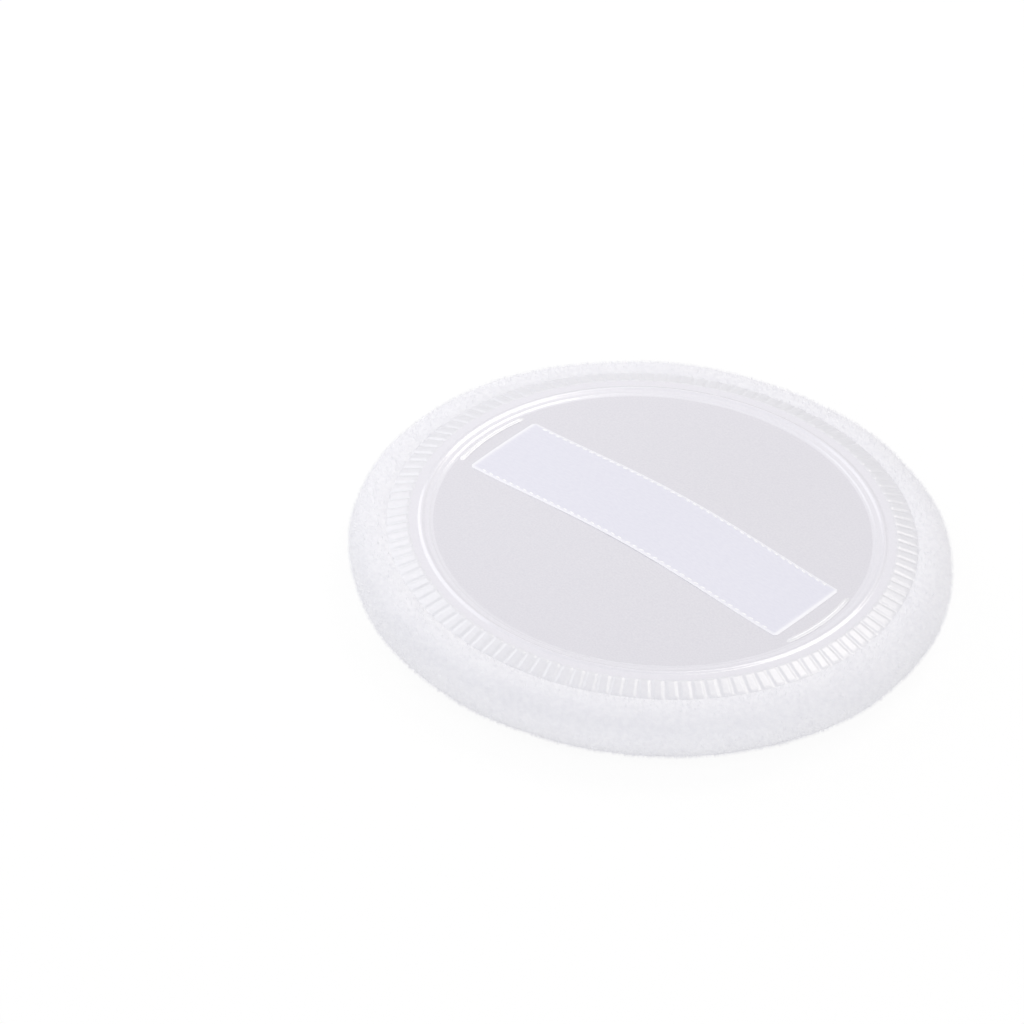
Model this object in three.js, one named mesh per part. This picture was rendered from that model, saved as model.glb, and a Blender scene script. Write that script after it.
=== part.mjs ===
// A round powder puff, lying on its pile face with its ribboned back up.
// Millimetres, +Z up, origin under the middle of the pile face, ribbon along X.
import * as THREE from 'three';

// Pile cover: plush cloth that makes the face, the rolled rim and the turned-in hem.
const puffDiameter = 90;
const faceRoll = 8.4; // from the rim in to where the face lies flat
const rimHeight = 6.2; // face to the widest line of the rim
const crestRise = 3.8; // widest line to the crest of the roll
const rimWidth = 6; // pile that shows round the seam, seen from above
const pileThickness = 2.2;
const lipDepth = 1.4; // crest of the roll down to the hem
const hemThickness = 1.4;

// Crimped seam: the welded band on the hem.
const crimpWidth = 3.1;
const crimpCount = 120;
const crimpDepth = 0.6; // valley to crest
const seamSink = 0.1; // outer edge of the band below the crest of the roll

// Back panel, and the film ring on it with its raised bead.
const panelRise = 0.5; // edge of the panel above the crest of the roll
const panelCrown = 1.7; // middle of the panel above its edge
const panelThickness = 0.5;
const filmWidth = 3.1;
const filmThickness = 0.35;
const beadInset = 0.9; // middle of the bead in from the film's outer edge
const beadWidth = 1;
const beadHeight = 0.35;

// Ribbon, and the welded beads that hold its ends.
const ribbonWidth = 15;
const ribbonThickness = 0.4;
const ribbonSlack = 0.3; // middle of the ribbon off the crown of the panel
const ribbonInset = 2.3; // end of the ribbon in from the film's inner edge
const ribbonCorner = 1; // rounding of its cut corners
const ribbonEndLength = 2.2; // flat stretch that stays down at each end
const strapLength = 14; // middle stretch that lifts
const weldOverlap = 0.6; // welded bead past the joint of ribbon and film, each way
const weldThickness = 0.4;
const weldRounding = 0.12;

// Clearances: between layers that lie on each other, and between edges that meet.
const layGap = 0.2;
const fitGap = 0.3;

// Fineness of the round and curved pieces.
const roundSteps = 48;
const rollSteps = 5;
const runSteps = 6;

// Levels and radii that follow from the sizes above.
const puffRadius = puffDiameter / 2;
const faceRadius = puffRadius - faceRoll;
const lipRadius = puffRadius - rimWidth + fitGap;
const seamOuter = puffRadius - rimWidth;
const seamInner = seamOuter - crimpWidth;
const panelRadius = seamInner - fitGap;
const filmInner = panelRadius - filmWidth;
const crestHeight = rimHeight + crestRise;
const hemTop = crestHeight - lipDepth;
const hemBottom = hemTop - hemThickness;
const panelTop = crestHeight + panelRise;
const panelBottom = panelTop - panelThickness;
const filmBottom = panelTop + layGap;
const filmTop = filmBottom + filmThickness;
const ribbonBase = panelTop + layGap;
const ribbonReach = Math.sqrt(filmInner ** 2 - (ribbonWidth / 2) ** 2) - ribbonInset;
const runOuter = ribbonReach - ribbonEndLength;
const weldBottom = Math.max(filmTop, ribbonBase + ribbonThickness) + layGap;

const point = (r, z) => new THREE.Vector2(r, z);

// Quarter of an ellipse about (r, z), from the start angle to the end angle in degrees.
function roll(r, z, halfWidth, halfHeight, start, end) {
  const points = [];
  for (let i = 0; i <= rollSteps; i += 1) {
    const angle = THREE.MathUtils.degToRad(start + ((end - start) * i) / rollSteps);
    points.push(point(r + halfWidth * Math.cos(angle), z + halfHeight * Math.sin(angle)));
  }
  return points;
}

// Solid of revolution about Z from a profile of (radius, height) points, anticlockwise.
function turned(profile) {
  return new THREE.LatheGeometry(profile, roundSteps).rotateX(Math.PI / 2);
}

function closedRing(profile) {
  return turned([...profile, profile[0].clone()]);
}

// Height of the panel's upper side: crowned by the foam between the ribbon's ends, flat outside them.
function panelHeight(r) {
  const share = Math.min(r / runOuter, 1);
  return panelTop + panelCrown * (1 - share ** 2) ** 2;
}

// Profile of the crown from its edge in to the axis, at a depth below the panel's upper side.
function crown(depth) {
  const points = [];
  for (let i = runSteps; i >= 0; i -= 1) {
    const r = (runOuter * i) / runSteps;
    points.push(point(r, panelHeight(r) - depth));
  }
  return points;
}

// Plush bowl: flat face, full rim, lip beside the seam, and the hem turned in under it.
function pileCover() {
  const innerRoll = puffRadius - pileThickness;
  return turned([
    point(0, 0),
    ...roll(faceRadius, rimHeight, faceRoll, rimHeight, -90, 0),
    ...roll(lipRadius, rimHeight, puffRadius - lipRadius, crestRise, 0, 90).slice(1),
    point(lipRadius, hemTop),
    point(seamInner, hemTop),
    point(seamInner, hemBottom),
    ...roll(lipRadius, rimHeight, innerRoll - lipRadius, hemBottom - rimHeight, 90, 0),
    ...roll(faceRadius, rimHeight, innerRoll - faceRadius, rimHeight - pileThickness, 0, -90).slice(1),
    point(0, pileThickness),
  ]);
}

// Sponge disc that fills the bowl and stands up inside the hem to carry the panel.
function foamCore() {
  const outer = puffRadius - pileThickness - layGap;
  const bottom = pileThickness + layGap;
  const shoulder = hemBottom - layGap;
  const top = panelBottom - layGap;
  return turned([
    point(0, bottom),
    ...roll(faceRadius, rimHeight, outer - faceRadius, rimHeight - bottom, -90, 0),
    ...roll(lipRadius, rimHeight, outer - lipRadius, shoulder - rimHeight, 0, 90).slice(1),
    point(panelRadius, shoulder),
    point(panelRadius, top),
    ...crown(panelThickness + layGap),
  ]);
}

function backPanel() {
  return turned([
    ...crown(panelThickness).reverse(),
    point(panelRadius, panelBottom),
    point(panelRadius, panelTop),
    ...crown(0),
  ]);
}

// Flat film ring whose bead stands up near its outer edge.
function filmBorder() {
  const beadRadius = panelRadius - beadInset;
  return closedRing([
    point(filmInner, filmBottom),
    point(panelRadius, filmBottom),
    point(panelRadius, filmTop),
    ...roll(beadRadius, filmTop, beadWidth / 2, beadHeight, 0, 180),
    point(filmInner, filmTop),
  ]);
}

// Band that slopes from the film down to the pile, pressed into radial crimps.
function crimpedSeam() {
  const bottom = hemTop + layGap;
  const outerTop = crestHeight - seamSink;
  const slope = (share) => THREE.MathUtils.lerp(filmTop, outerTop, share);
  const steps = crimpCount * 2;
  const positions = [];
  for (let i = 0; i < steps; i += 1) {
    const angle = (i / steps) * 2 * Math.PI;
    const press = i % 2 === 0 ? crimpDepth / 2 : -crimpDepth / 2;
    const section = [
      point(seamInner, bottom),
      point(seamOuter, bottom),
      point(seamOuter, outerTop),
      point(THREE.MathUtils.lerp(seamInner, seamOuter, 0.75), slope(0.75) + press),
      point(THREE.MathUtils.lerp(seamInner, seamOuter, 0.25), slope(0.25) + press),
      point(seamInner, filmTop),
    ];
    for (const { x, y } of section) {
      positions.push(x * Math.cos(angle), x * Math.sin(angle), y);
    }
  }
  const around = positions.length / 3 / steps;
  const index = [];
  for (let i = 0; i < steps; i += 1) {
    const next = (i + 1) % steps;
    for (let j = 0; j < around; j += 1) {
      const up = (j + 1) % around;
      const [a, b, c, d] = [i * around + j, next * around + j, next * around + up, i * around + up];
      index.push(a, b, c, a, c, d);
    }
  }
  const geometry = new THREE.BufferGeometry();
  geometry.setAttribute('position', new THREE.Float32BufferAttribute(positions, 3));
  geometry.setIndex(index);
  return geometry;
}

// Height of the ribbon's underside: laid on the crown of the panel, a little slack in the middle.
function ribbonHeight(x) {
  const share = 1 - Math.abs(x) / runOuter;
  return panelHeight(Math.abs(x)) + layGap + ribbonSlack * THREE.MathUtils.smoothstep(share, 0, 1);
}

// Stretch of ribbon from x = start to x = end, following its rise.
function ribbonStretch(start, end) {
  const under = [];
  for (let i = 0; i <= runSteps; i += 1) {
    const x = THREE.MathUtils.lerp(start, end, i / runSteps);
    under.push(point(x, ribbonHeight(x)));
  }
  const over = under.map(({ x, y }) => point(x, y + ribbonThickness)).reverse();
  const strip = new THREE.ExtrudeGeometry(new THREE.Shape([...under, ...over]), {
    depth: ribbonWidth,
    bevelEnabled: false,
  });
  return strip.rotateX(Math.PI / 2).translate(0, ribbonWidth / 2, 0);
}

// Flat end of the ribbon towards +X, with its cut corners rounded.
function ribbonEnd() {
  const half = ribbonWidth / 2;
  const outline = new THREE.Shape();
  outline.moveTo(runOuter, -half);
  outline.lineTo(ribbonReach - ribbonCorner, -half);
  outline.absarc(ribbonReach - ribbonCorner, -half + ribbonCorner, ribbonCorner, -Math.PI / 2, 0);
  outline.lineTo(ribbonReach, half - ribbonCorner);
  outline.absarc(ribbonReach - ribbonCorner, half - ribbonCorner, ribbonCorner, 0, Math.PI / 2);
  outline.lineTo(runOuter, half);
  const flat = new THREE.ExtrudeGeometry(outline, {
    depth: ribbonThickness,
    bevelEnabled: false,
    curveSegments: 4,
  });
  return flat.translate(0, 0, ribbonBase);
}

// Welded bead towards +X: an arc of film as wide as the ribbon, over its end and the film's edge.
function ribbonWeld() {
  const inner = ribbonReach - weldOverlap + weldRounding;
  const outer = filmInner + weldOverlap - weldRounding;
  const spread = Math.asin(ribbonWidth / 2 / filmInner);
  const outline = new THREE.Shape();
  outline.absarc(0, 0, outer, -spread, spread);
  outline.absarc(0, 0, inner, spread, -spread, true);
  const bar = new THREE.ExtrudeGeometry(outline, {
    depth: weldThickness - 2 * weldRounding,
    bevelThickness: weldRounding,
    bevelSize: weldRounding,
    bevelSegments: 1,
    curveSegments: 8,
  });
  return bar.translate(0, 0, weldBottom + weldRounding);
}

const finishes = {
  plush: { color: 0xecedf1, roughness: 1, metalness: 0 },
  sponge: { color: 0xf3efe4, roughness: 0.95, metalness: 0 },
  satin: { color: 0xe2e1e6, roughness: 0.5, metalness: 0 },
  film: { color: 0xf0f0f4, roughness: 0.15, metalness: 0 },
  ribbon: { color: 0xe8e9f4, roughness: 0.4, metalness: 0 },
};

function piece(name, geometry, finish) {
  const mesh = new THREE.Mesh(geometry, new THREE.MeshStandardMaterial(finishes[finish]));
  mesh.name = name;
  return mesh;
}

const puff = new THREE.Group();
puff.add(
  piece('pile_cover', pileCover(), 'plush'),
  piece('foam_core', foamCore(), 'sponge'),
  piece('back_panel', backPanel(), 'satin'),
  piece('film_border', filmBorder(), 'film'),
  piece('crimped_seam', crimpedSeam(), 'film'),
  piece('ribbon_strap', ribbonStretch(-strapLength / 2, strapLength / 2), 'ribbon'),
);

// The two halves of the ribbon are alike: the left one is the right one turned half round Z.
const runInner = strapLength / 2 + fitGap;
for (const [side, turn] of [['right', 0], ['left', Math.PI]]) {
  const half = new THREE.Group();
  half.rotation.z = turn;
  half.add(
    piece(`ribbon_run_${side}`, ribbonStretch(runInner, runOuter - fitGap), 'ribbon'),
    piece(`ribbon_end_${side}`, ribbonEnd(), 'ribbon'),
    piece(`ribbon_weld_${side}`, ribbonWeld(), 'film'),
  );
  puff.add(half);
}

export default puff;
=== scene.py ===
"""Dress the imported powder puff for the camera.

The puff is a plush pad with a satin back, a clear film border, a crimped seam and a ribbon strap.
Sizes are in metres, in the frame of the part: +Z up from the pile face, +X along the ribbon.
"""

from __future__ import annotations

import logging
import math
from dataclasses import dataclass
from enum import Enum

import bpy
import numpy as np
from mathutils import Matrix, Vector

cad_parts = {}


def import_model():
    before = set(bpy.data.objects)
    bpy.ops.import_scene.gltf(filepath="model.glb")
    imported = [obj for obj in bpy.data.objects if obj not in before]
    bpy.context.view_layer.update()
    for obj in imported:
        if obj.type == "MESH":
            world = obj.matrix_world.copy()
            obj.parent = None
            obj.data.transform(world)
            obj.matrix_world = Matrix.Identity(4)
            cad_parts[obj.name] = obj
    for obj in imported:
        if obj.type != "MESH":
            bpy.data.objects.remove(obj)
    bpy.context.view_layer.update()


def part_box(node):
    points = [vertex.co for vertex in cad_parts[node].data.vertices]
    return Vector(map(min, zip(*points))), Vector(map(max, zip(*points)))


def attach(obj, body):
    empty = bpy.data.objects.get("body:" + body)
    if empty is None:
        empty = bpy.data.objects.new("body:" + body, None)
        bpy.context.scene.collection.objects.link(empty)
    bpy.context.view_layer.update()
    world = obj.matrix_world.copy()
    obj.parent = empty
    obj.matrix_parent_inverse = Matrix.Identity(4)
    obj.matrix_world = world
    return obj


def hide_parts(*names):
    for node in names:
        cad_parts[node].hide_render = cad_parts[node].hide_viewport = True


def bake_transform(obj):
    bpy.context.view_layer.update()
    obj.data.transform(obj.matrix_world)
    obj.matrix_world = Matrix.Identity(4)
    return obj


LOG = logging.getLogger("powder_puff")
MM = 0.001
MERGE_GAP = 0.002 * MM
CREASE = math.radians(45)
WHITE = (1.0, 1.0, 1.0, 1.0)
WAVE_COUNT = 24
WAVE_SPREAD = (0.7, 1.4)
NO_AREA = 1e-18
Point = tuple[float, float]
Outline = list[Point]
Piece = bpy.types.Object
Material = bpy.types.Material
Tree = bpy.types.NodeTree
Values = dict[str | int, object]
Links = dict[str | int, bpy.types.NodeSocket]
Pattern = tuple[bpy.types.NodeSocket, bpy.types.NodeSocket]


class Body(Enum):
    """The moving bodies of the part."""

    PUFF = "puff"
    STRAP = "strap"


class Slot(Enum):
    """The material slots of the record."""

    PLUSH = "plush"
    SPONGE = "sponge"
    SATIN = "satin"
    FILM = "film"
    RIBBON = "ribbon"


class Side(Enum):
    """The two ends of the ribbon, by the sign of X."""

    LEFT = -1
    RIGHT = 1

    @property
    def word(self) -> str:
        """The side's word in node and piece names."""
        return self.name.lower()


def srgb(hex_colour: str) -> tuple[float, float, float, float]:
    """Turns an sRGB hex colour to linear.

    Args:
        hex_colour: The colour, as "#RRGGBB".

    Returns:
        Linear red, green and blue, and an alpha of 1.
    """
    channels = [int(hex_colour[i : i + 2], 16) / 255 for i in (1, 3, 5)]
    linear = [c / 12.92 if c <= 0.04045 else ((c + 0.055) / 1.055) ** 2.4 for c in channels]
    return (*linear, 1.0)


def add_node(
    tree: Tree,
    kind: str,
    values: Values | None = None,
    links: Links | None = None,
    **settings: object,
) -> bpy.types.Node:
    """Adds a shader node with its settings, values and links.

    Args:
        tree: The node tree of the material or world.
        kind: The node's type, without "ShaderNode".
        values: Values of inputs, by their name or number.
        links: Sockets that feed inputs, by the input's name or number.
        **settings: The node's own properties.

    Returns:
        The new node.
    """
    node = tree.nodes.new("ShaderNode" + kind)
    for key, value in settings.items():
        setattr(node, key, value)
    for key, value in (values or {}).items():
        node.inputs[key].default_value = value
    for key, socket in (links or {}).items():
        tree.links.new(socket, node.inputs[key])
    return node


class Finish:
    """A finish of one of the puff's materials: two tones mixed by a pattern, and a relief."""

    colour: str
    shade: str
    edge_colour: str | None = None
    relief: float = 0.0
    relief_depth: float = 0.0

    def start(self, name: str) -> tuple[Material, bpy.types.Node]:
        """Starts the material.

        Args:
            name: The material's name.

        Returns:
            The material and its Principled shader, with the finish's constants on it.
        """
        material = bpy.data.materials.new(name)
        material.use_nodes = True
        tree = material.node_tree
        tree.nodes.clear()
        shader = add_node(tree, "BsdfPrincipled", self.values())
        add_node(tree, "OutputMaterial", links={"Surface": shader.outputs["BSDF"]})
        return material, shader

    def make(self, name: str) -> Material:
        """Builds the material.

        Args:
            name: The material's name.

        Returns:
            The material.
        """
        material, shader = self.start(name)
        tree = material.node_tree
        place = {"Vector": add_node(tree, "TexCoord").outputs["Object"]}
        share, height = self.pattern(tree, place)
        tones = {6: srgb(self.shade), 7: srgb(self.colour)}
        colour = add_node(tree, "Mix", tones, {0: share}, data_type="RGBA").outputs[2]
        if self.edge_colour:
            edge = add_node(tree, "Attribute", attribute_name="selvedge").outputs["Fac"]
            tones = {7: srgb(self.edge_colour)}
            colour = add_node(tree, "Mix", tones, {0: edge, 6: colour}, data_type="RGBA").outputs[2]
        tree.links.new(colour, shader.inputs["Base Color"])
        if self.relief:
            relief = {"Strength": self.relief, "Distance": self.relief_depth}
            bump = add_node(tree, "Bump", relief, {"Height": height})
            tree.links.new(bump.outputs[0], shader.inputs["Normal"])
        return material

    def values(self) -> Values:
        """Constants of the shader, by the names of its sockets."""
        raise NotImplementedError

    def pattern(self, tree: Tree, place: Links) -> Pattern:
        """Adds the pattern's nodes.

        Args:
            tree: The material's node tree.
            place: The texture's place on the piece.

        Returns:
            The lighter tone's share, and the relief's height.
        """
        raise NotImplementedError


@dataclass(frozen=True)
class PlushFinish(Finish):
    """Sheared acrylic plush: matt and deep, with soft clumps, and painted shade in the partings between
    them.
    """

    colour: str = "#F0F0F3"
    # painted shade: the darker tone of the partings between the clumps
    shade: str = "#EBEBEF"
    clump: float = 0.8 * MM
    patch: float = 9.0 * MM
    fibre: float = 0.3 * MM
    clump_weight: float = 3.0
    dark_at: float = 1.5
    light_at: float = 2.5
    relief: float = 0.25
    relief_depth: float = 0.15 * MM

    def values(self) -> Values:
        """Constants of a matt cloth with a sheen."""
        matt = {"Roughness": 1.0, "Specular IOR Level": 0.15}
        return matt | {"Sheen Weight": 0.3, "Sheen Roughness": 0.6}

    def pattern(self, tree: Tree, place: Links) -> Pattern:
        """Mixes clumps with wider patches, and raises clumps and fibres.

        Args:
            tree: The material's node tree.
            place: The texture's place on the piece.

        Returns:
            The lighter tone's share, and the relief's height.
        """
        clumps = add_node(tree, "TexNoise", {"Scale": 1 / self.clump, "Detail": 3.0}, place)
        patches = add_node(tree, "TexNoise", {"Scale": 1 / self.patch, "Detail": 2.0}, place)
        fibres = add_node(tree, "TexNoise", {"Scale": 1 / self.fibre, "Detail": 2.0}, place)
        weights = {0: clumps.outputs["Fac"], 2: patches.outputs["Fac"]}
        # painted shade: where the clumps are low, in the partings, the darker tone is mixed in; the
        # patches vary the tone at random
        nap = add_node(tree, "Math", {1: self.clump_weight}, weights, operation="MULTIPLY_ADD")
        span = {1: self.dark_at, 2: self.light_at}
        share = add_node(tree, "MapRange", span, {0: nap.outputs[0]})
        heights = {0: clumps.outputs["Fac"], 1: fibres.outputs["Fac"]}
        height = add_node(tree, "Math", links=heights, operation="ADD")
        return share.outputs[0], height.outputs[0]


@dataclass(frozen=True)
class GrainFinish(Finish):
    """A finish whose tones and relief follow one fine grain."""

    grain: float

    def pattern(self, tree: Tree, place: Links) -> Pattern:
        """Adds the grain.

        Args:
            tree: The material's node tree.
            place: The texture's place on the piece.

        Returns:
            The lighter tone's share, and the relief's height.
        """
        grain = add_node(tree, "TexNoise", {"Scale": 1 / self.grain, "Detail": 2.0}, place)
        return grain.outputs["Fac"], grain.outputs["Fac"]


@dataclass(frozen=True)
class NapFibreFinish(GrainFinish):
    """Fine acrylic fibre, spun: matt and pale, so the nap breaks up the light in soft grains."""

    grain: float = 0.8 * MM
    colour: str = "#F7F7FA"
    shade: str = "#F0F0F3"

    def values(self) -> Values:
        """Constants of a matt fibre."""
        return {"Roughness": 1.0, "Specular IOR Level": 0.1}


@dataclass(frozen=True)
class SpongeFinish(Finish):
    """Open-cell sponge, cut: matt cream, with painted shade in its small cells."""

    colour: str = "#F3EEE2"
    # painted shade: the darker tone in the cells' pits
    shade: str = "#D8D0BE"
    cell: float = 0.8 * MM
    relief: float = 0.6
    relief_depth: float = 0.3 * MM

    def values(self) -> Values:
        """Constants of a matt foam."""
        return {"Roughness": 0.95}

    def pattern(self, tree: Tree, place: Links) -> Pattern:
        """Adds the cut cells, with painted shade in their pits.

        Args:
            tree: The material's node tree.
            place: The texture's place on the piece.

        Returns:
            The lighter tone's share, and the relief's height.
        """
        cells = add_node(tree, "TexVoronoi", {"Scale": 1 / self.cell}, place)
        return cells.outputs["Distance"], cells.outputs["Distance"]


@dataclass(frozen=True)
class SatinFinish(Finish):
    """Polyester satin, woven: long floats run one way, so it has a soft sheen and a fine grain.

    The floats are really 0.1 mm apart, and are drawn coarser so that the grain shows.
    """

    colour: str
    shade: str
    float_length: float
    float_width: float = 0.3 * MM
    roughness: float = 0.45
    gloss: float = 0.4
    relief: float = 0.25
    edge_colour: str | None = None
    dark_at: float = 0.3
    light_at: float = 0.7
    relief_depth: float = 0.04 * MM

    def values(self) -> Values:
        """Constants of a cloth with a soft gloss."""
        gloss = {"Roughness": self.roughness, "Specular IOR Level": self.gloss}
        return gloss | {"Sheen Weight": 0.05}

    def pattern(self, tree: Tree, place: Links) -> Pattern:
        """Draws the grain out along the floats.

        Args:
            tree: The material's node tree.
            place: The texture's place on the piece.

        Returns:
            The lighter tone's share, and the relief's height.
        """
        stretch = (1 / self.float_length, 1 / self.float_width, 1 / self.float_width)
        along = {"Vector": add_node(tree, "Mapping", {"Scale": stretch}, place).outputs[0]}
        grain = add_node(tree, "TexNoise", {"Scale": 1.0, "Detail": 2.0}, along).outputs["Fac"]
        span = {1: self.dark_at, 2: self.light_at}
        return add_node(tree, "MapRange", span, {0: grain}).outputs[0], grain


@dataclass(frozen=True)
class FilmOnSatinFinish(GrainFinish):
    """Clear PVC film, calendered, on satin: the weave shows through a smooth wet-looking gloss."""

    grain: float = 0.35 * MM
    colour: str = "#EEEDF2"
    shade: str = "#E6E5EB"
    relief: float = 0.2
    relief_depth: float = 0.04 * MM
    roughness: float = 0.35
    coat_roughness: float = 0.14
    coat_ior: float = 1.6

    def values(self) -> Values:
        """Constants of a cloth with the film on it as a coat."""
        coat = {"Coat Weight": 1.0, "Coat Roughness": self.coat_roughness, "Coat IOR": self.coat_ior}
        return coat | {"Roughness": self.roughness}


@dataclass(frozen=True)
class WeldedFilmFinish(FilmOnSatinFinish):
    """PVC film welded down on white cloth: milky, with wet-looking glints on each crimp."""

    grain: float = 0.6 * MM
    colour: str = "#EAEAED"
    shade: str = "#E1E1E6"
    relief: float = 0.3
    relief_depth: float = 0.08 * MM
    roughness: float = 0.4
    coat_roughness: float = 0.29
    coat_ior: float = 1.5


@dataclass(frozen=True)
class FloorFinish(Finish):
    """Opal acrylic light table, cast: white to the camera apart from the puff's soft shadow.

    Its glow is weak, and fills the underside of the rim.
    """

    colour: str = "#F4F4F2"
    whiteness: float = 0.92
    glow: float = 0.1

    def values(self) -> Values:
        """Constants of a matt floor with a weak glow."""
        matt = {"Base Color": srgb(self.colour), "Roughness": 1.0, "Specular IOR Level": 0.0}
        return matt | {"Emission Color": WHITE, "Emission Strength": self.glow}

    def make(self, name: str) -> Material:
        """Builds the material, with plain white for rays that look at the floor.

        Args:
            name: The material's name.

        Returns:
            The material.
        """
        material, shader = self.start(name)
        tree = material.node_tree
        rays = add_node(tree, "LightPath").outputs
        looks = {0: rays["Is Camera Ray"], 1: rays["Is Glossy Ray"]}
        seen = add_node(tree, "Math", links=looks, operation="ADD")
        looks = {0: seen.outputs[0], 1: rays["Is Transmission Ray"]}
        seen = add_node(tree, "Math", links=looks, operation="ADD")
        part = {1: self.whiteness}
        share = add_node(tree, "Math", part, {0: seen.outputs[0]}, operation="MULTIPLY", use_clamp=True)
        white = add_node(tree, "Emission", {"Color": WHITE, "Strength": 1.0})
        parts = {0: share.outputs[0], 1: shader.outputs[0], 2: white.outputs[0]}
        mixed = add_node(tree, "MixShader", links=parts)
        output = next(n for n in tree.nodes if n.type == "OUTPUT_MATERIAL")
        tree.links.new(mixed.outputs[0], output.inputs["Surface"])
        return material


def deselect_all() -> None:
    """Deselects every object."""
    bpy.ops.object.select_all(action="DESELECT")


def named(name: str) -> Piece:
    """Names the primitive that was just added, and returns it."""
    bpy.context.object.name = bpy.context.object.data.name = name
    return bpy.context.object


def face_outwards(merge: bool) -> None:
    """Points the active piece's faces outwards.

    Args:
        merge: True to merge its doubles first.
    """
    bpy.ops.object.mode_set(mode="EDIT")
    bpy.ops.mesh.select_all(action="SELECT")
    if merge:
        bpy.ops.mesh.remove_doubles(threshold=MERGE_GAP)
    bpy.ops.mesh.normals_make_consistent(inside=False)
    bpy.ops.object.mode_set(mode="OBJECT")


def places(piece: Piece) -> np.ndarray:
    """Reads a piece's vertex places.

    Args:
        piece: A mesh object at the origin.

    Returns:
        An array of x, y and z rows.
    """
    flat = np.zeros(len(piece.data.vertices) * 3)
    piece.data.vertices.foreach_get("co", flat)
    return flat.reshape(-1, 3)


def put_places(piece: Piece, rows: np.ndarray) -> None:
    """Writes a piece's vertex places from rows of x, y and z."""
    piece.data.vertices.foreach_set("co", rows.ravel())
    piece.data.update()


def triangles(piece: Piece) -> tuple[np.ndarray, np.ndarray, np.ndarray]:
    """Reads a piece's triangles.

    Args:
        piece: A mesh object at the origin.

    Returns:
        The corners, the normals and the areas.
    """
    mesh = piece.data
    mesh.calc_loop_triangles()
    index = np.zeros(len(mesh.loop_triangles) * 3, np.int32)
    mesh.loop_triangles.foreach_get("vertices", index)
    corners = places(piece)[index.reshape(-1, 3)]
    cross = np.cross(corners[:, 1] - corners[:, 0], corners[:, 2] - corners[:, 0])
    doubled = np.linalg.norm(cross, axis=1)
    return corners, cross / np.maximum(doubled, NO_AREA)[:, None], doubled / 2


def spin_section(name: str, outline: Outline, steps: int, closed: bool = True) -> Piece:
    """Shapes a circle to a section outline and turns it round Z.

    Args:
        name: The piece's name.
        outline: Radius and height of each point of the section.
        steps: Steps of the full turn.
        closed: False for a section whose two ends lie on the axis.

    Returns:
        The turned piece, with its doubles merged and its faces pointing out.
    """
    deselect_all()
    bpy.ops.mesh.primitive_circle_add(vertices=len(outline), radius=outline[0][0] + MM)
    piece = named(name)
    put_places(piece, np.array([(radius, 0.0, height) for radius, height in outline]))
    if not closed:
        bpy.ops.object.mode_set(mode="EDIT")
        bpy.ops.mesh.select_mode(type="EDGE")
        bpy.ops.mesh.select_all(action="DESELECT")
        bpy.ops.object.mode_set(mode="OBJECT")
        ends = {0, len(outline) - 1}
        for edge in piece.data.edges:
            edge.select = set(edge.vertices) == ends
        bpy.ops.object.mode_set(mode="EDIT")
        bpy.ops.mesh.delete(type="EDGE")
        bpy.ops.object.mode_set(mode="OBJECT")
    turn = piece.modifiers.new("turn", "SCREW")
    turn.steps = turn.render_steps = steps
    turn.use_merge_vertices = True
    turn.merge_threshold = MERGE_GAP
    bpy.ops.object.modifier_apply(modifier="turn")
    face_outwards(merge=True)
    bpy.ops.object.shade_smooth_by_angle(angle=CREASE)
    return piece


def sweep(
    centre: Point, reach: Point, start: float, end: float, steps: int, fullness: float = 2.0
) -> Outline:
    """Lays points along an arc of an ellipse in a section.

    Args:
        centre: Radius and height of the ellipse's middle.
        reach: Its half-axes along the radius and the height.
        start: Angle of the first point, in degrees from straight out.
        end: Angle of the last point.
        steps: Spaces between the points.
        fullness: 2 for an ellipse, more for a squarer arc.

    Returns:
        The points, ends included.
    """
    angles = np.radians(np.linspace(start, end, steps + 1))
    out, up = np.cos(angles), np.sin(angles)
    stretch = (np.abs(out) ** fullness + np.abs(up) ** fullness) ** (-1 / fullness)
    return list(zip(centre[0] + reach[0] * out * stretch, centre[1] + reach[1] * up * stretch))


def run(first: Point, last: Point, steps: int) -> Outline:
    """Lays points along a straight line in a section.

    Args:
        first: Radius and height of the first point.
        last: Radius and height of the last point.
        steps: Spaces between the points.

    Returns:
        The points, ends included.
    """
    return [tuple(p) for p in np.linspace(first, last, steps + 1)]


def smoothstep(share: np.ndarray | float) -> np.ndarray:
    """Eases a share of 0 to 1 in and out."""
    held = np.clip(share, 0.0, 1.0)
    return held * held * (3 - 2 * held)


def ridge(offset: np.ndarray | float, half_width: float, tall: float) -> np.ndarray:
    """Height of a rounded ridge.

    Args:
        offset: Distance from its crest.
        half_width: Distance from its crest to its foot.
        tall: Height of its crest.

    Returns:
        The height at each offset.
    """
    share = np.clip(np.abs(offset) / half_width, 0, 1)
    return tall * (1 + np.cos(math.pi * share)) / 2


def dress(piece: Piece, material: Material, slot: Slot, *nodes: str) -> Piece:
    """Gives a piece its material, hides the nodes that it stands for, and reports it.

    Args:
        piece: The piece.
        material: Its material.
        slot: The record's slot for it. Not used.
        *nodes: The nodes that it replaces.

    Returns:
        The piece.
    """
    piece.data.materials.clear()
    piece.data.materials.append(material)
    if nodes:
        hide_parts(*nodes)
    LOG.info("%s: %d faces", piece.name, len(piece.data.polygons))
    return piece


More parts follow.
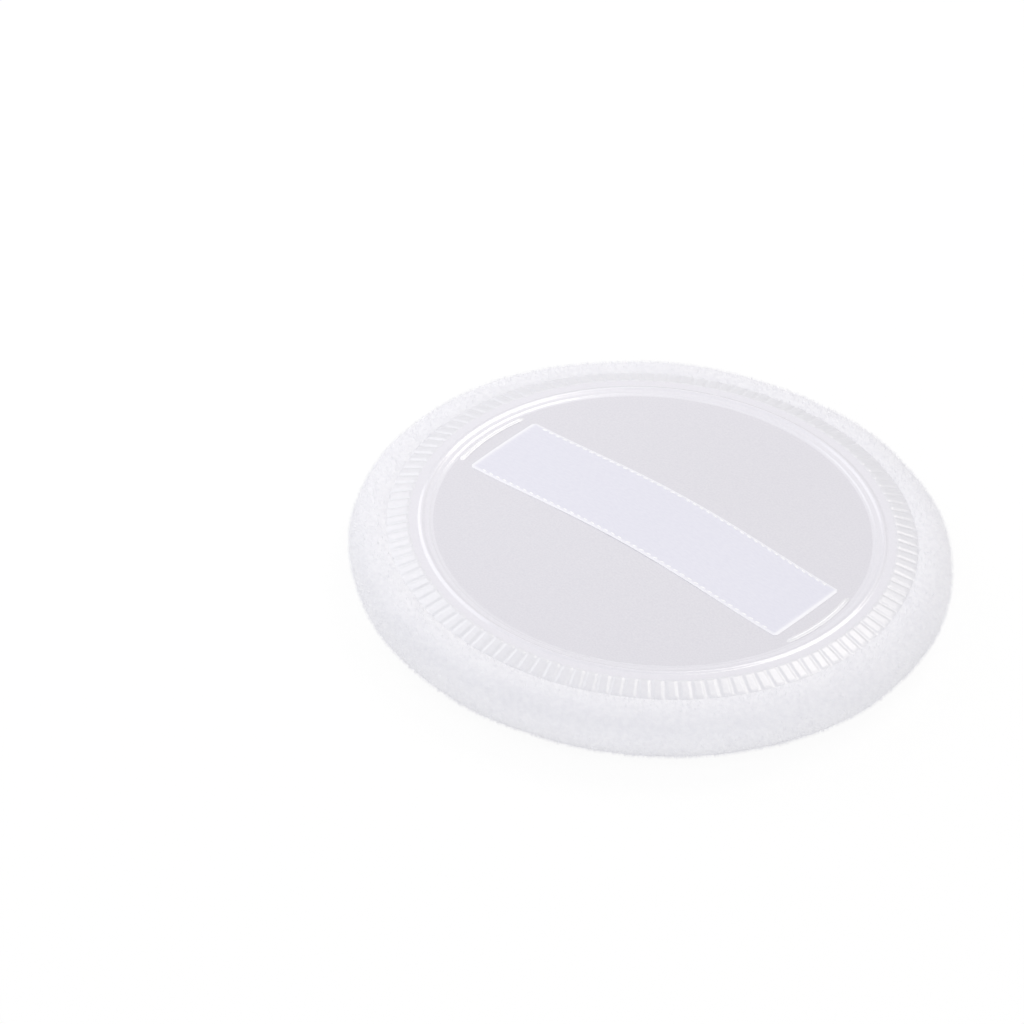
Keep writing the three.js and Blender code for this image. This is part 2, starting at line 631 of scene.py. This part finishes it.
def displace(piece: Piece, name: str, size: float, height: float, group: str) -> None:
    """Raises and sinks a group of a piece's points by a cloud pattern, and applies it.

    Args:
        piece: The piece.
        name: The pattern's name.
        size: Width of its clouds.
        height: From its lowest to its highest.
        group: The vertex group that it moves.
    """
    clouds = bpy.data.textures.new(name, "CLOUDS")
    clouds.noise_scale = size
    clouds.noise_depth = 2
    modifier = piece.modifiers.new(name, "DISPLACE")
    modifier.texture = clouds
    modifier.texture_coords = "LOCAL"
    modifier.strength = height
    modifier.mid_level = 0.5
    modifier.vertex_group = group
    deselect_all()
    piece.select_set(True)
    bpy.context.view_layer.objects.active = piece
    bpy.ops.object.modifier_apply(modifier=name)


def random_waves(rng: np.random.Generator, spots: np.ndarray, length: float) -> np.ndarray:
    """Reads a smooth random field, made of waves of about one length.

    Args:
        rng: The seeded source of its waves.
        spots: Rows of x, y and z.
        length: Length of the waves.

    Returns:
        One value a row, with a spread of about 1.
    """
    total = np.zeros(len(spots))
    for _ in range(WAVE_COUNT):
        way = rng.normal(size=3)
        way *= math.tau / length / np.linalg.norm(way) * rng.uniform(*WAVE_SPREAD)
        total += np.cos(spots @ way + rng.uniform(0, math.tau))
    return total / math.sqrt(WAVE_COUNT / 2)


@dataclass
class PlushPad:
    """The pile cloth: the powdering face, rolled over the rim to a hem under the seam."""

    nap: float = 0.35 * MM
    rim_height: float = 6.2 * MM
    fullness: float = 2.4
    face_radius: float = 36.6 * MM
    crest_radius: float = 40.4 * MM
    lip_inset: float = 0.1 * MM
    lip_nap: float = 0.1 * MM
    lip_roll: float = 0.55 * MM
    lip_calm: float = 2.2 * MM
    hem_gap: float = 0.2 * MM
    hem_width: float = 3.2 * MM
    hem_drop: float = 1.2 * MM
    lining_gap: float = 0.15 * MM
    lining_start: float = 12.0
    swell_width: float = 14.0 * MM
    swell: float = 0.5 * MM
    tuft_width: float = 0.9 * MM
    tuft: float = 0.12 * MM
    same_place: float = 0.01 * MM
    face_steps: int = 42
    below_steps: int = 34
    above_steps: int = 22
    roll_steps: int = 7
    lining_steps: int = 10
    turn_steps: int = 720
    rim_fibres: int = 49000
    face_fibres: int = 45000

    @property
    def crest(self) -> float:
        """Height of the rim's crest, under its nap."""
        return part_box("pile_cover")[1].z - self.lip_nap

    @property
    def lip(self) -> float:
        """Radius at which the cloth goes in under the seam."""
        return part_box("crimped_seam")[1].x - self.lip_inset

    def outer(self) -> Outline:
        """Section of the cloth's outer side, from the middle of the face to the seam.

        Returns:
            The points of the section.
        """
        low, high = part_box("pile_cover")
        bottom = low.z + self.nap
        wide = high.x - self.nap
        face = run((0.0, bottom), (self.face_radius, bottom), self.face_steps)
        centre = (self.face_radius, self.rim_height)
        reach = (wide - self.face_radius, self.rim_height - self.nap)
        below = sweep(centre, reach, -90, 0, self.below_steps, self.fullness)
        centre = (self.crest_radius, self.rim_height)
        reach = (wide - self.crest_radius, self.crest - self.rim_height)
        above = sweep(centre, reach, 0, 90, self.above_steps)
        centre = (self.crest_radius, self.crest - self.lip_roll)
        reach = (self.crest_radius - self.lip, self.lip_roll)
        roll = sweep(centre, reach, 90, 180, self.roll_steps)
        return face + below[1:] + above[1:] + roll[1:]

    def inner(self) -> Outline:
        """Section of the cloth's inner side, from the seam's hem back to the axis.

        Returns:
            The points of the section.
        """
        low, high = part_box("foam_core")
        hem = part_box("crimped_seam")[0].z - self.hem_gap
        hem_end = self.lip - self.hem_width
        ring = [(self.lip, hem), (hem_end, hem), (hem_end, hem - self.hem_drop)]
        wide = high.x + self.lining_gap - self.face_radius
        tall = self.rim_height - low.z + self.lining_gap
        centre = (self.face_radius, self.rim_height)
        wall = sweep(centre, (wide, tall), self.lining_start, -90, self.lining_steps)
        return ring + wall + [(0.0, low.z - self.lining_gap)]

    def build_cloth(self) -> Piece:
        """Turns the cloth and gives its outer side a soft, uneven nap.

        Returns:
            The cloth.
        """
        outer = self.outer()
        cloth = spin_section("pile_cloth", outer + self.inner(), self.turn_steps, closed=False)
        rows = places(cloth)
        section = np.stack([np.hypot(rows[:, 0], rows[:, 1]), rows[:, 2]], axis=1)
        gaps = [np.hypot(*(section - np.array(point)).T) for point in outer[1:-2]]
        outside = np.min(np.stack(gaps), axis=0) < self.same_place
        from_lip = smoothstep((section[:, 0] - outer[-1][0]) / self.lip_calm)
        share = np.where(section[:, 1] > self.rim_height, from_lip, 1.0)
        group = cloth.vertex_groups.new(name="nap")
        for vertex in np.nonzero(outside)[0]:
            group.add([int(vertex)], float(share[vertex]), "REPLACE")
        displace(cloth, "uneven_rim", self.swell_width, self.swell, "nap")
        displace(cloth, "tufts", self.tuft_width, self.tuft, "nap")
        return cloth

    def build(self) -> None:
        """Builds and dresses the cloth and its nap."""
        plush = PlushFinish().make("sheared_plush_pile")
        cloth = dress(self.build_cloth(), plush, Slot.PLUSH, "pile_cover")
        fibre = NapFibreFinish().make("spun_plush_fibre")
        nap = PileNap(self)
        rim = dress(nap.plant(cloth, "pile_nap_rim", self.rim_fibres, True), fibre, Slot.PLUSH)
        face = dress(nap.plant(cloth, "pile_nap_face", self.face_fibres, False), fibre, Slot.PLUSH)
        for piece in (cloth, rim, face):
            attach(piece, Body.PUFF.value)


@dataclass
class PileNap:
    """The nap: fibres that stand on the outer side of the pile cloth.

    Real fibres are thinner and many more. They are drawn thicker and fewer, so that the nap shows.
    """

    pad: PlushPad
    fibre_length: float = 0.6 * MM
    length_spread: tuple[float, float] = (0.65, 1.1)
    fibre_radius: float = 0.022 * MM
    root: float = 0.15 * MM
    ground: float = 0.03 * MM
    rim_start: float = 1.6 * MM
    skin_tall: float = 0.9 * MM
    skin_wide: float = 1.2 * MM
    wall_low: float = 2.0 * MM
    wall_drop: float = 1.0 * MM
    lip_overlap: float = 0.2 * MM
    lip_lean: float = 0.8
    lip_lean_run: float = 1.0 * MM
    patch: float = 9.0 * MM
    patch_lean: float = 0.15
    tuft: float = 0.9 * MM
    tuft_lean: float = 0.4
    stray_lean: float = 0.25
    seed: int = 11

    def planted(self, middle: np.ndarray, rim: bool) -> np.ndarray:
        """Finds the cloth's triangles that fibres stand on, all on its outer side.

        Args:
            middle: The triangles' middles.
            rim: True for the rim, False for the face.

        Returns:
            True for each triangle with fibres.
        """
        pad = self.pad
        radius = np.hypot(middle[:, 0], middle[:, 1])
        height = middle[:, 2]
        shown = height > self.rim_start if rim else height <= self.rim_start
        above = height > pad.rim_height
        start = np.where(above, pad.crest_radius, pad.face_radius)
        tall = np.where(above, pad.crest - pad.rim_height, pad.rim_height) - self.skin_tall
        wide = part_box("pile_cover")[1].x - self.skin_wide - start
        out = np.maximum(radius - start, 0) / wide
        outside = np.hypot(out, (height - pad.rim_height) / tall) > 1
        in_wall = (height > self.wall_low) & (height < pad.crest - self.wall_drop)
        sheltered = (radius < pad.crest_radius) & in_wall
        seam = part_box("crimped_seam")[1].x - self.lip_overlap
        return shown & outside & ~sheltered & (radius > (seam if rim else 0))

    def lean(self, rng: np.random.Generator, roots: np.ndarray) -> np.ndarray:
        """Leans the fibres by patches, by tufts and each a little on its own.

        Args:
            rng: The seeded source.
            roots: The fibres' roots.

        Returns:
            Each fibre's lean, as a share of its height.
        """
        by_patch = self.patch_lean * random_waves(rng, roots, self.patch)
        by_tuft = self.tuft_lean * random_waves(rng, roots, self.tuft)
        return by_patch + by_tuft + rng.normal(scale=self.stray_lean, size=len(roots))

    def plant(self, cloth: Piece, name: str, count: int, rim: bool) -> Piece:
        """Plants fibres over the rim or the face of the cloth.

        Args:
            cloth: The cloth that they stand on.
            name: The piece's name.
            count: Number of fibres.
            rim: True for the rim, False for the face.

        Returns:
            The nap, one thin closed spike a fibre.
        """
        rng = np.random.default_rng(self.seed + rim)
        corners, normals, areas = triangles(cloth)
        chance = np.where(self.planted(corners.mean(axis=1), rim), areas, 0.0)
        chosen = rng.choice(len(areas), size=count, p=chance / chance.sum())
        spread = rng.dirichlet((1.0, 1.0, 1.0), size=count)
        roots = np.einsum("ij,ijk->ik", spread, corners[chosen])
        up = normals[chosen]
        reach = np.hypot(roots[:, 0], roots[:, 1])
        round_rim = np.stack([-roots[:, 1], roots[:, 0], np.zeros(count)], axis=1) / reach[:, None]
        other = np.cross(up, round_rim if rim else (1.0, 0.0, 0.0))
        other /= np.linalg.norm(other, axis=1)[:, None]
        side = np.cross(other, up)
        lean = self.lean(rng, roots)
        tip_over = self.lean(rng, roots)
        from_crest = (self.pad.crest_radius - reach) / self.lip_lean_run
        inward = self.lip_lean * smoothstep(from_crest) * rim
        way = up + lean[:, None] * side + tip_over[:, None] * other
        way[:, :2] -= inward[:, None] * roots[:, :2] / reach[:, None]
        way /= np.linalg.norm(way, axis=1)[:, None]
        length = self.fibre_length * rng.uniform(*self.length_spread, size=count)
        tips = roots + way * length[:, None]
        tips[:, 2] = np.maximum(tips[:, 2], self.ground)
        sunk = roots - up * self.root
        turn = rng.uniform(0, math.tau, size=count)
        rows = np.zeros((count, 4, 3))
        for corner in range(3):
            angle = turn + corner * math.tau / 3
            ring = np.cos(angle)[:, None] * side + np.sin(angle)[:, None] * other
            rows[:, corner] = sunk + ring * self.fibre_radius
        rows[:, 3] = tips
        faces = np.array([(0, 1, 3), (1, 2, 3), (2, 0, 3), (2, 1, 0)])
        faces = (faces[None] + 4 * np.arange(count)[:, None, None]).reshape(-1, 3)
        mesh = bpy.data.meshes.new(name)
        mesh.from_pydata(rows.reshape(-1, 3), [], faces)
        piece = bpy.data.objects.new(name, mesh)
        bpy.context.scene.collection.objects.link(piece)
        return piece


@dataclass
class FoamCore:
    """The sponge disc inside the pad, which crowns the back."""

    pad: PlushPad
    shoulder_drop: float = 1.9 * MM
    shoulder_inset: float = 0.6 * MM
    panel_inset: float = 0.3 * MM
    panel_gap: float = 0.7 * MM
    face_steps: int = 12
    rim_steps: int = 8
    back_points: int = 24
    turn_steps: int = 180

    def outline(self) -> Outline:
        """Section of the core, from the middle of its face round to the middle of its back.

        Returns:
            The points of the section.
        """
        low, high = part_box("foam_core")
        face, middle = self.pad.face_radius, self.pad.rim_height
        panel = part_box("back_panel")[1].x
        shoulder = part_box("crimped_seam")[0].z - self.shoulder_drop
        points = run((0.0, low.z), (face, low.z), self.face_steps)
        points += sweep((face, middle), (high.x - face, middle - low.z), -90, 0, self.rim_steps)[1:]
        points += [(high.x - self.shoulder_inset, shoulder), (panel, shoulder)]
        back = SatinBack()
        for radius in np.linspace(panel - self.panel_inset, 0.0, self.back_points):
            points.append((float(radius), float(back.height(radius)) - self.panel_gap))
        return points

    def build(self) -> None:
        """Turns the core and dresses it."""
        sponge = SpongeFinish().make("open_cell_sponge")
        core = spin_section("foam_core_cut", self.outline(), self.turn_steps, closed=False)
        dress(core, sponge, Slot.SPONGE, "foam_core")
        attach(core, Body.PUFF.value)


@dataclass
class SatinBack:
    """The satin panel that covers the back, crowned by the foam under it."""

    thickness: float = 0.3 * MM
    crown_radius: float = 32.0 * MM
    film_gap: float = 0.2 * MM
    turn_steps: int = 180
    rings: int = 72
    rings_each_under: int = 6

    def height(self, radius: np.ndarray | float) -> np.ndarray:
        """Height of the panel's upper side.

        Args:
            radius: Distance from the axis.

        Returns:
            The height at each distance.
        """
        edge = self.edge()
        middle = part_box("back_panel")[1].z
        share = np.clip(np.asarray(radius) / self.crown_radius, 0, 1)
        return edge + (middle - edge) * (1 - share**2) ** 2

    def edge(self) -> float:
        """Height of the panel's flat edge, under the film."""
        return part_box("film_border")[0].z - self.film_gap

    def build(self) -> None:
        """Turns the panel and dresses it."""
        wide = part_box("back_panel")[1].x
        radii = np.linspace(0, wide, self.rings)
        top = [(float(r), float(self.height(r))) for r in radii]
        under = [(r, z - self.thickness) for r, z in reversed(top[:: self.rings_each_under])]
        outline = top + [(wide, top[-1][1] - self.thickness)] + under
        panel = spin_section("satin_panel", outline, self.turn_steps, closed=False)
        satin = SatinFinish("#E0DFE4", "#DAD9DF", 0.3 * MM, roughness=0.5, gloss=0.3)
        dress(panel, satin.make("woven_satin_backing"), Slot.SATIN, "back_panel")
        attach(panel, Body.PUFF.value)


@dataclass
class FilmBorder:
    """The clear film ring round the panel, with a raised bead and a fainter ring.

    Each ring has the radius of its crest, its half width and its height.
    """

    width: float = 3.3 * MM
    overlap: float = 0.65 * MM
    rise: float = 0.22 * MM
    tuck: float = 0.01 * MM
    sunk: float = 0.05 * MM
    ramp: float = 1.8 * MM
    rings: tuple[tuple[float, float, float], ...] = (
        (34.35 * MM, 0.6 * MM, 0.17 * MM),
        (33.2 * MM, 0.35 * MM, 0.05 * MM),
    )
    points: int = 84
    turn_steps: int = 480

    def height(self, radius: float, top: float) -> float:
        """Height of the film's upper side.

        Args:
            radius: Distance from the axis.
            top: Height of its plain surface there.

        Returns:
            The height with the bead and the fainter ring on it.
        """
        return top + max(float(ridge(radius - r, wide, tall)) for r, wide, tall in self.rings)

    def build(self) -> None:
        """Turns the film ring and dresses it."""
        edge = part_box("back_panel")[1].x
        narrow = edge - self.width
        wide = edge + self.overlap
        panel = SatinBack().edge()
        under = panel - self.sunk
        upper = []
        for radius in np.linspace(wide, narrow, self.points):
            share = float(smoothstep((radius - narrow) / self.ramp))
            laid = panel - self.tuck + (self.rise + self.tuck) * share
            upper.append((float(radius), self.height(float(radius), laid)))
        outline = [(narrow, under), (wide, under), *upper]
        ring = spin_section("film_ring", outline, self.turn_steps)
        dress(ring, FilmOnSatinFinish().make("clear_film_on_satin"), Slot.FILM, "film_border")
        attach(ring, Body.PUFF.value)


@dataclass
class CrimpedSeam:
    """The welded seam between back and pile, crimped all round."""

    count: int = 120
    width: float = 3.1 * MM
    under_lip: float = 0.7 * MM
    depth: float = 0.13 * MM
    inner_top: float = 10.9 * MM
    outer_top: float = 9.71 * MM
    shelf: float = 10.7 * MM
    wall: float = 0.3 * MM
    flat: float = 0.25
    slope: float = 0.21
    run_out: float = 0.2
    skew: float = 0.12
    lowest: float = 0.75
    tallest: float = 1.1
    steps_each: int = 14
    section_steps: int = 15
    seed: int = 5

    def build(self) -> None:
        """Turns the seam, crimps it and dresses it."""
        low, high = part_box("crimped_seam")
        narrow = high.x - self.width
        wide = high.x + self.under_lip
        top = run((wide, self.outer_top), (narrow, self.inner_top), self.section_steps)
        outline = [(narrow, low.z), (wide, low.z)] + top
        seam = spin_section("crimped_weld", outline, self.count * self.steps_each)
        rng = np.random.default_rng(self.seed)
        rows = places(seam)
        radius = np.hypot(rows[:, 0], rows[:, 1])
        share = (radius - narrow) / (wide - narrow)
        turn = (np.arctan2(rows[:, 1], rows[:, 0]) / math.tau) % 1.0 * self.count
        which = np.floor(turn).astype(int) % self.count
        skew = rng.uniform(-self.skew, self.skew, self.count)[which]
        tall = rng.uniform(self.lowest, self.tallest, self.count)[which]
        across = np.abs(turn - np.floor(turn) - 0.5 + skew * (share - 0.5))
        bar = 1 - smoothstep((across - self.flat) / self.slope)
        ends = smoothstep(share / self.run_out) * smoothstep((1 - share) / self.run_out)
        base = np.minimum(rows[:, 2] - self.depth / 2, self.shelf)
        on_top = rows[:, 2] > low.z + self.wall
        rows[:, 2] = np.where(on_top, base + self.depth * tall * bar * ends, rows[:, 2])
        put_places(seam, rows)
        dress(seam, WeldedFilmFinish().make("welded_film_crimps"), Slot.FILM, "crimped_seam")
        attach(seam, Body.PUFF.value)


@dataclass
class RibbonStrap:
    """The satin ribbon across the back, in two halves that meet in its middle."""

    thickness: float = 0.1 * MM
    crease: float = math.radians(50)
    clearance: float = 0.02 * MM
    slack: float = 0.06 * MM
    corner: float = 0.5 * MM
    bow: float = 0.1 * MM
    bow_power: int = 6
    selvedge: float = 0.5 * MM
    hem: float = 0.8 * MM
    edge_flat: float = 0.3
    edge_rise: float = 0.03 * MM
    border: float = 0.3 * MM
    border_sink: float = 0.1 * MM
    held: float = 2.2 * MM
    pick_pitch: float = 1.3 * MM
    pick_inset: float = 0.5 * MM
    pick_radius: float = 0.18 * MM
    pick_shape: tuple[float, float, float] = (2.4, 1.0, 0.4)
    pick_slant: float = 0.22
    pick_first: float = 0.8 * MM
    pick_end: float = 1.2 * MM
    pick_segments: int = 10
    pick_rings: int = 6
    steps_along: int = 90
    steps_across: int = 48

    @property
    def reach(self) -> float:
        """Distance from the ribbon's middle to its end."""
        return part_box("ribbon_end_right")[1].x

    @property
    def half(self) -> float:
        """Half of the ribbon's width."""
        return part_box("ribbon_end_right")[1].y

    def underside(self, along: np.ndarray, sideways: np.ndarray) -> np.ndarray:
        """Height of the ribbon's underside, which lies on the crowned panel.

        Args:
            along: Distance from its middle.
            sideways: Distance from its centre line.

        Returns:
            The height at each place.
        """
        slack = self.slack * smoothstep(1 - np.abs(along) / self.reach)
        return SatinBack().height(np.hypot(along, sideways)) + slack + self.clearance

    def build_half(self, side: Side) -> Piece:
        """Lays one half of the ribbon from a grid.

        Args:
            side: The half.

        Returns:
            The half, with its selvedges and hem raised a little.
        """
        reach, half = self.reach, self.half
        deselect_all()
        bpy.ops.mesh.primitive_grid_add(
            x_subdivisions=self.steps_along, y_subdivisions=self.steps_across, size=2.0
        )
        piece = named(f"ribbon_{side.word}")
        rows = places(piece)
        along = (rows[:, 0] + 1) / 2 * reach
        across = rows[:, 1]
        short = np.clip((along - (reach - self.corner)) / self.corner, 0, 1)
        width = half - self.corner * (1 - np.sqrt(1 - short * short))
        sideways = across * width
        inward = half - np.abs(sideways)
        near = np.minimum(inward / self.selvedge, (reach - along) / self.hem)
        edge = 1 - smoothstep((near - self.edge_flat) / (1 - self.edge_flat))
        sunk = 1 - smoothstep(np.minimum(inward, reach - along) / self.border)
        along -= self.bow * across**2 * (along / reach) ** self.bow_power
        height = self.underside(along, sideways) + self.thickness / 2
        height += self.edge_rise * edge - self.border_sink * sunk
        put_places(piece, np.stack([along * side.value, sideways, height], axis=1))
        attribute = piece.data.attributes.new("selvedge", "FLOAT", "POINT")
        attribute.data.foreach_set("value", edge.astype(np.float32))
        face_outwards(merge=False)
        if piece.data.polygons[0].normal.z < 0:
            piece.data.flip_normals()
        wall = piece.modifiers.new("thickness", "SOLIDIFY")
        wall.thickness = self.thickness
        wall.offset = 0.0
        bpy.ops.object.modifier_apply(modifier="thickness")
        bpy.ops.object.shade_smooth_by_angle(angle=self.crease)
        return piece

    def build_picks(self, side: Side) -> Piece:
        """Models one raised selvedge pick, and repeats it along both edges of a half.

        Args:
            side: The half.

        Returns:
            The picks, laid on the ribbon.
        """
        deselect_all()
        bpy.ops.mesh.primitive_uv_sphere_add(
            segments=self.pick_segments, ring_count=self.pick_rings, radius=self.pick_radius
        )
        piece = named(f"ribbon_picks_{side.word}")
        bpy.ops.object.mode_set(mode="EDIT")
        bpy.ops.mesh.select_all(action="SELECT")
        bpy.ops.transform.resize(value=self.pick_shape, center_override=(0, 0, 0))
        bpy.ops.transform.rotate(value=self.pick_slant, orient_axis="Z", center_override=(0, 0, 0))
        bpy.ops.transform.translate(value=(self.pick_first, self.half - self.pick_inset, 0))
        bpy.ops.object.mode_set(mode="OBJECT")
        row = piece.modifiers.new("row", "ARRAY")
        row.use_relative_offset = False
        row.use_constant_offset = True
        row.constant_offset_displace = (self.pick_pitch, 0, 0)
        row.count = int((self.reach - self.pick_end) / self.pick_pitch)
        bpy.ops.object.modifier_apply(modifier="row")
        other = piece.modifiers.new("other_edge", "MIRROR")
        other.use_axis = (False, True, False)
        bpy.ops.object.modifier_apply(modifier="other_edge")
        rows = places(piece)
        rows[:, 2] += self.underside(rows[:, 0], rows[:, 1]) + self.thickness
        rows[:, 0] *= side.value
        put_places(piece, rows)
        face_outwards(merge=False)
        bpy.ops.object.shade_smooth()
        return piece

    def build(self) -> None:
        """Builds both halves and their picks, and dresses them."""
        satin = SatinFinish(
            "#E5E5EE", "#E1E1EB", 0.8 * MM, roughness=0.4, gloss=0.35, relief=0.15, edge_colour="#F5F5F9"
        )
        material = satin.make("woven_ribbon_satin")
        # The picks' thread is whitened past the ribbon's own colour: partly the thread, partly a painted
        # glint on the picks.
        painted_glint_thread = SatinFinish("#FDFDFE", "#F8F8FB", 0.4 * MM, 0.1 * MM).make("selvedge_thread_painted_glint")
        for side in Side:
            piece = self.build_half(side)
            nodes = [f"ribbon_run_{side.word}", f"ribbon_end_{side.word}", "ribbon_strap"]
            dress(piece, material, Slot.RIBBON, *nodes)
            picks = dress(self.build_picks(side), painted_glint_thread, Slot.RIBBON)
            for part in (piece, picks):
                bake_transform(part)


@dataclass
class RibbonWelds:
    """The film weld bars beyond the ribbon's ends, which hold them down."""

    crest_radius: float = 32.0 * MM
    half_width: float = 0.45 * MM
    height: float = 0.2 * MM
    belly: float = 0.2
    film_gap: float = 0.15 * MM
    foot_drop: float = 0.07 * MM
    spread: float = math.radians(13.3)
    taper: float = math.radians(2.0)
    tip: float = 0.02
    points: int = 28
    steps: int = 44

    def build_bar(self, side: Side) -> Piece:
        """Spins a bar beyond one end of the ribbon, and draws its ends in.

        Args:
            side: The end.

        Returns:
            The bar.
        """
        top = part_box("film_border")[0].z - self.film_gap
        middle = 0.0 if side is Side.RIGHT else math.pi
        deselect_all()
        bpy.ops.mesh.primitive_circle_add(vertices=self.points, radius=self.half_width)
        bar = named(f"weld_bar_{side.word}")
        rows = places(bar)
        first = middle + self.spread
        radius = self.crest_radius + rows[:, 0]
        over = ridge(rows[:, 0], self.half_width, self.height)
        height = top + np.where(rows[:, 1] > 0, over, self.belly * rows[:, 1])
        put_places(bar, np.stack([radius * math.cos(first), radius * math.sin(first), height], axis=1))
        bpy.ops.object.mode_set(mode="EDIT")
        bpy.ops.mesh.select_all(action="SELECT")
        bpy.ops.mesh.edge_face_add()
        bpy.ops.mesh.spin(steps=self.steps, angle=2 * self.spread, center=(0, 0, 0), axis=(0, 0, 1))
        bpy.ops.object.mode_set(mode="OBJECT")
        face_outwards(merge=True)
        rows = places(bar)
        angle = np.arctan2(rows[:, 1] * side.value, rows[:, 0] * side.value)
        near = np.clip((self.spread - np.abs(angle)) / self.taper, 0, 1)
        drawn_in = np.sqrt(np.clip(1 - (1 - near) ** 2, self.tip, 1))
        offset = np.hypot(rows[:, 0], rows[:, 1]) - self.crest_radius
        radius = self.crest_radius + offset * drawn_in
        turn = middle + angle
        foot = top - self.foot_drop
        height = foot + (rows[:, 2] - foot) * smoothstep(near)
        put_places(bar, np.stack([radius * np.cos(turn), radius * np.sin(turn), height], axis=1))
        bpy.ops.object.shade_smooth()
        return bar

    def build(self) -> None:
        """Builds both bars and dresses them."""
        film = FilmOnSatinFinish(colour="#F4F4F6", shade="#EDEDF1").make("film_weld_bar")
        for side in Side:
            bar = dress(self.build_bar(side), film, Slot.FILM, f"ribbon_weld_{side.word}")
            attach(bar, Body.PUFF.value)


@dataclass(frozen=True)
class Softbox:
    """A square soft light over the puff.

    Attributes:
        name: The light's name.
        way: Direction to it: right, towards the camera, and up.
        level: Share of plain light that it gives a surface that faces it.
        side: Length of its side.
        colour: Its colour.
        distance: How far it hangs from the puff.
    """

    name: str
    way: tuple[float, float, float]
    level: float
    side: float
    colour: str = "#FFFFFF"
    distance: float = 1.0

    def hang(self, right: Vector, front: Vector) -> None:
        """Hangs the light over the puff.

        Args:
            right: Level direction to the camera's right.
            front: Level direction towards the camera.
        """
        rise = Vector((0, 0, self.way[2]))
        aim = (right * self.way[0] + front * self.way[1] + rise).normalized()
        data = bpy.data.lights.new(self.name, "AREA")
        data.size = self.side
        data.energy = self.level * (math.pi * self.distance) ** 2
        data.color = srgb(self.colour)[:3]
        lamp = bpy.data.objects.new(self.name, data)
        lamp.location = aim * self.distance
        lamp.visible_camera = False
        lamp.rotation_mode = "QUATERNION"
        lamp.rotation_quaternion = aim.to_track_quat("Z", "Y")
        bpy.context.scene.collection.objects.link(lamp)


@dataclass
class Studio:
    """The floor, the soft light and the camera."""

    elevation: float = math.radians(37.46)
    azimuth: float = math.radians(37.71)
    roll: float = math.radians(-4.05)
    distance: float = 1.2
    lens: float = 284.58
    sensor: float = 36.0
    clip: tuple[float, float] = (0.05, 50.0)
    aim: tuple[float, float, float] = (0.0, 0.0, 5.0 * MM)
    slide: tuple[float, float] = (-20.54 * MM, 6.75 * MM)
    floor_side: float = 12.0
    room_colour: str = "#F6F6FB"
    room_level: float = 0.595
    softboxes: tuple[Softbox, ...] = (
        Softbox("glint_softbox", (0.345, -0.445, 0.825), 0.28, 0.46, "#FFFAF0"),
        Softbox("left_softbox", (-0.62, -0.5, 0.6), 0.27, 0.25, distance=0.32),
        Softbox("front_softbox", (0.0, 0.83, 0.56), 0.465, 1.5),
    )

    def axes(self) -> tuple[Vector, Vector, Vector]:
        """Directions of the camera.

        Returns:
            Its right, its up and the way back to it.
        """
        a, e, roll = self.azimuth, self.elevation, self.roll
        back = Vector((math.sin(a) * math.cos(e), -math.cos(a) * math.cos(e), math.sin(e)))
        right = Vector((math.cos(a), math.sin(a), 0.0))
        up = back.cross(right)
        return (
            right * math.cos(roll) - up * math.sin(roll),
            right * math.sin(roll) + up * math.cos(roll),
            back,
        )

    def build_camera(self) -> None:
        """Places the camera at the photograph's angle."""
        right, up, back = self.axes()
        target = Vector(self.aim) + right * self.slide[0] + up * self.slide[1]
        data = bpy.data.cameras.new("studio_camera")
        data.lens = self.lens
        data.sensor_width = self.sensor
        data.clip_start, data.clip_end = self.clip
        camera = bpy.data.objects.new("studio_camera", data)
        turned = Matrix((right, up, back)).transposed().to_4x4()
        camera.matrix_world = Matrix.Translation(target + back * self.distance) @ turned
        bpy.context.scene.collection.objects.link(camera)
        bpy.context.scene.camera = camera

    def build_world(self) -> None:
        """Lights the puff from all round, and shows white behind it."""
        world = bpy.data.worlds.new("studio_white")
        world.use_nodes = True
        tree = world.node_tree
        tree.nodes.clear()
        rays = add_node(tree, "LightPath").outputs
        glow = {"Color": srgb(self.room_colour), "Strength": self.room_level}
        room = add_node(tree, "Background", glow)
        white = add_node(tree, "Background", {"Color": WHITE, "Strength": 1.0})
        parts = {0: rays["Is Camera Ray"], 1: room.outputs[0], 2: white.outputs[0]}
        mixed = add_node(tree, "MixShader", links=parts)
        add_node(tree, "OutputWorld", links={"Surface": mixed.outputs[0]})
        bpy.context.scene.world = world

    def build_floor(self) -> None:
        """Lays the floor under the puff."""
        deselect_all()
        bpy.ops.mesh.primitive_plane_add(size=self.floor_side)
        floor = named("studio_floor")
        floor.data.materials.append(FloorFinish().make("opal_light_table"))

    def build(self) -> None:
        """Builds the studio."""
        self.build_camera()
        self.build_world()
        self.build_floor()
        right = Vector((math.cos(self.azimuth), math.sin(self.azimuth), 0.0))
        front = Vector((math.sin(self.azimuth), -math.cos(self.azimuth), 0.0))
        for softbox in self.softboxes:
            softbox.hang(right, front)
        bpy.context.scene.view_settings.view_transform = "Standard"


def main() -> None:
    """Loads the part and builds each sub-assembly in order."""
    logging.basicConfig(level=logging.INFO, format="%(message)s")
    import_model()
    Studio().build()
    pad = PlushPad()
    pad.build()
    FoamCore(pad).build()
    SatinBack().build()
    FilmBorder().build()
    CrimpedSeam().build()
    RibbonStrap().build()
    RibbonWelds().build()


if __name__ == "__main__":
    main()
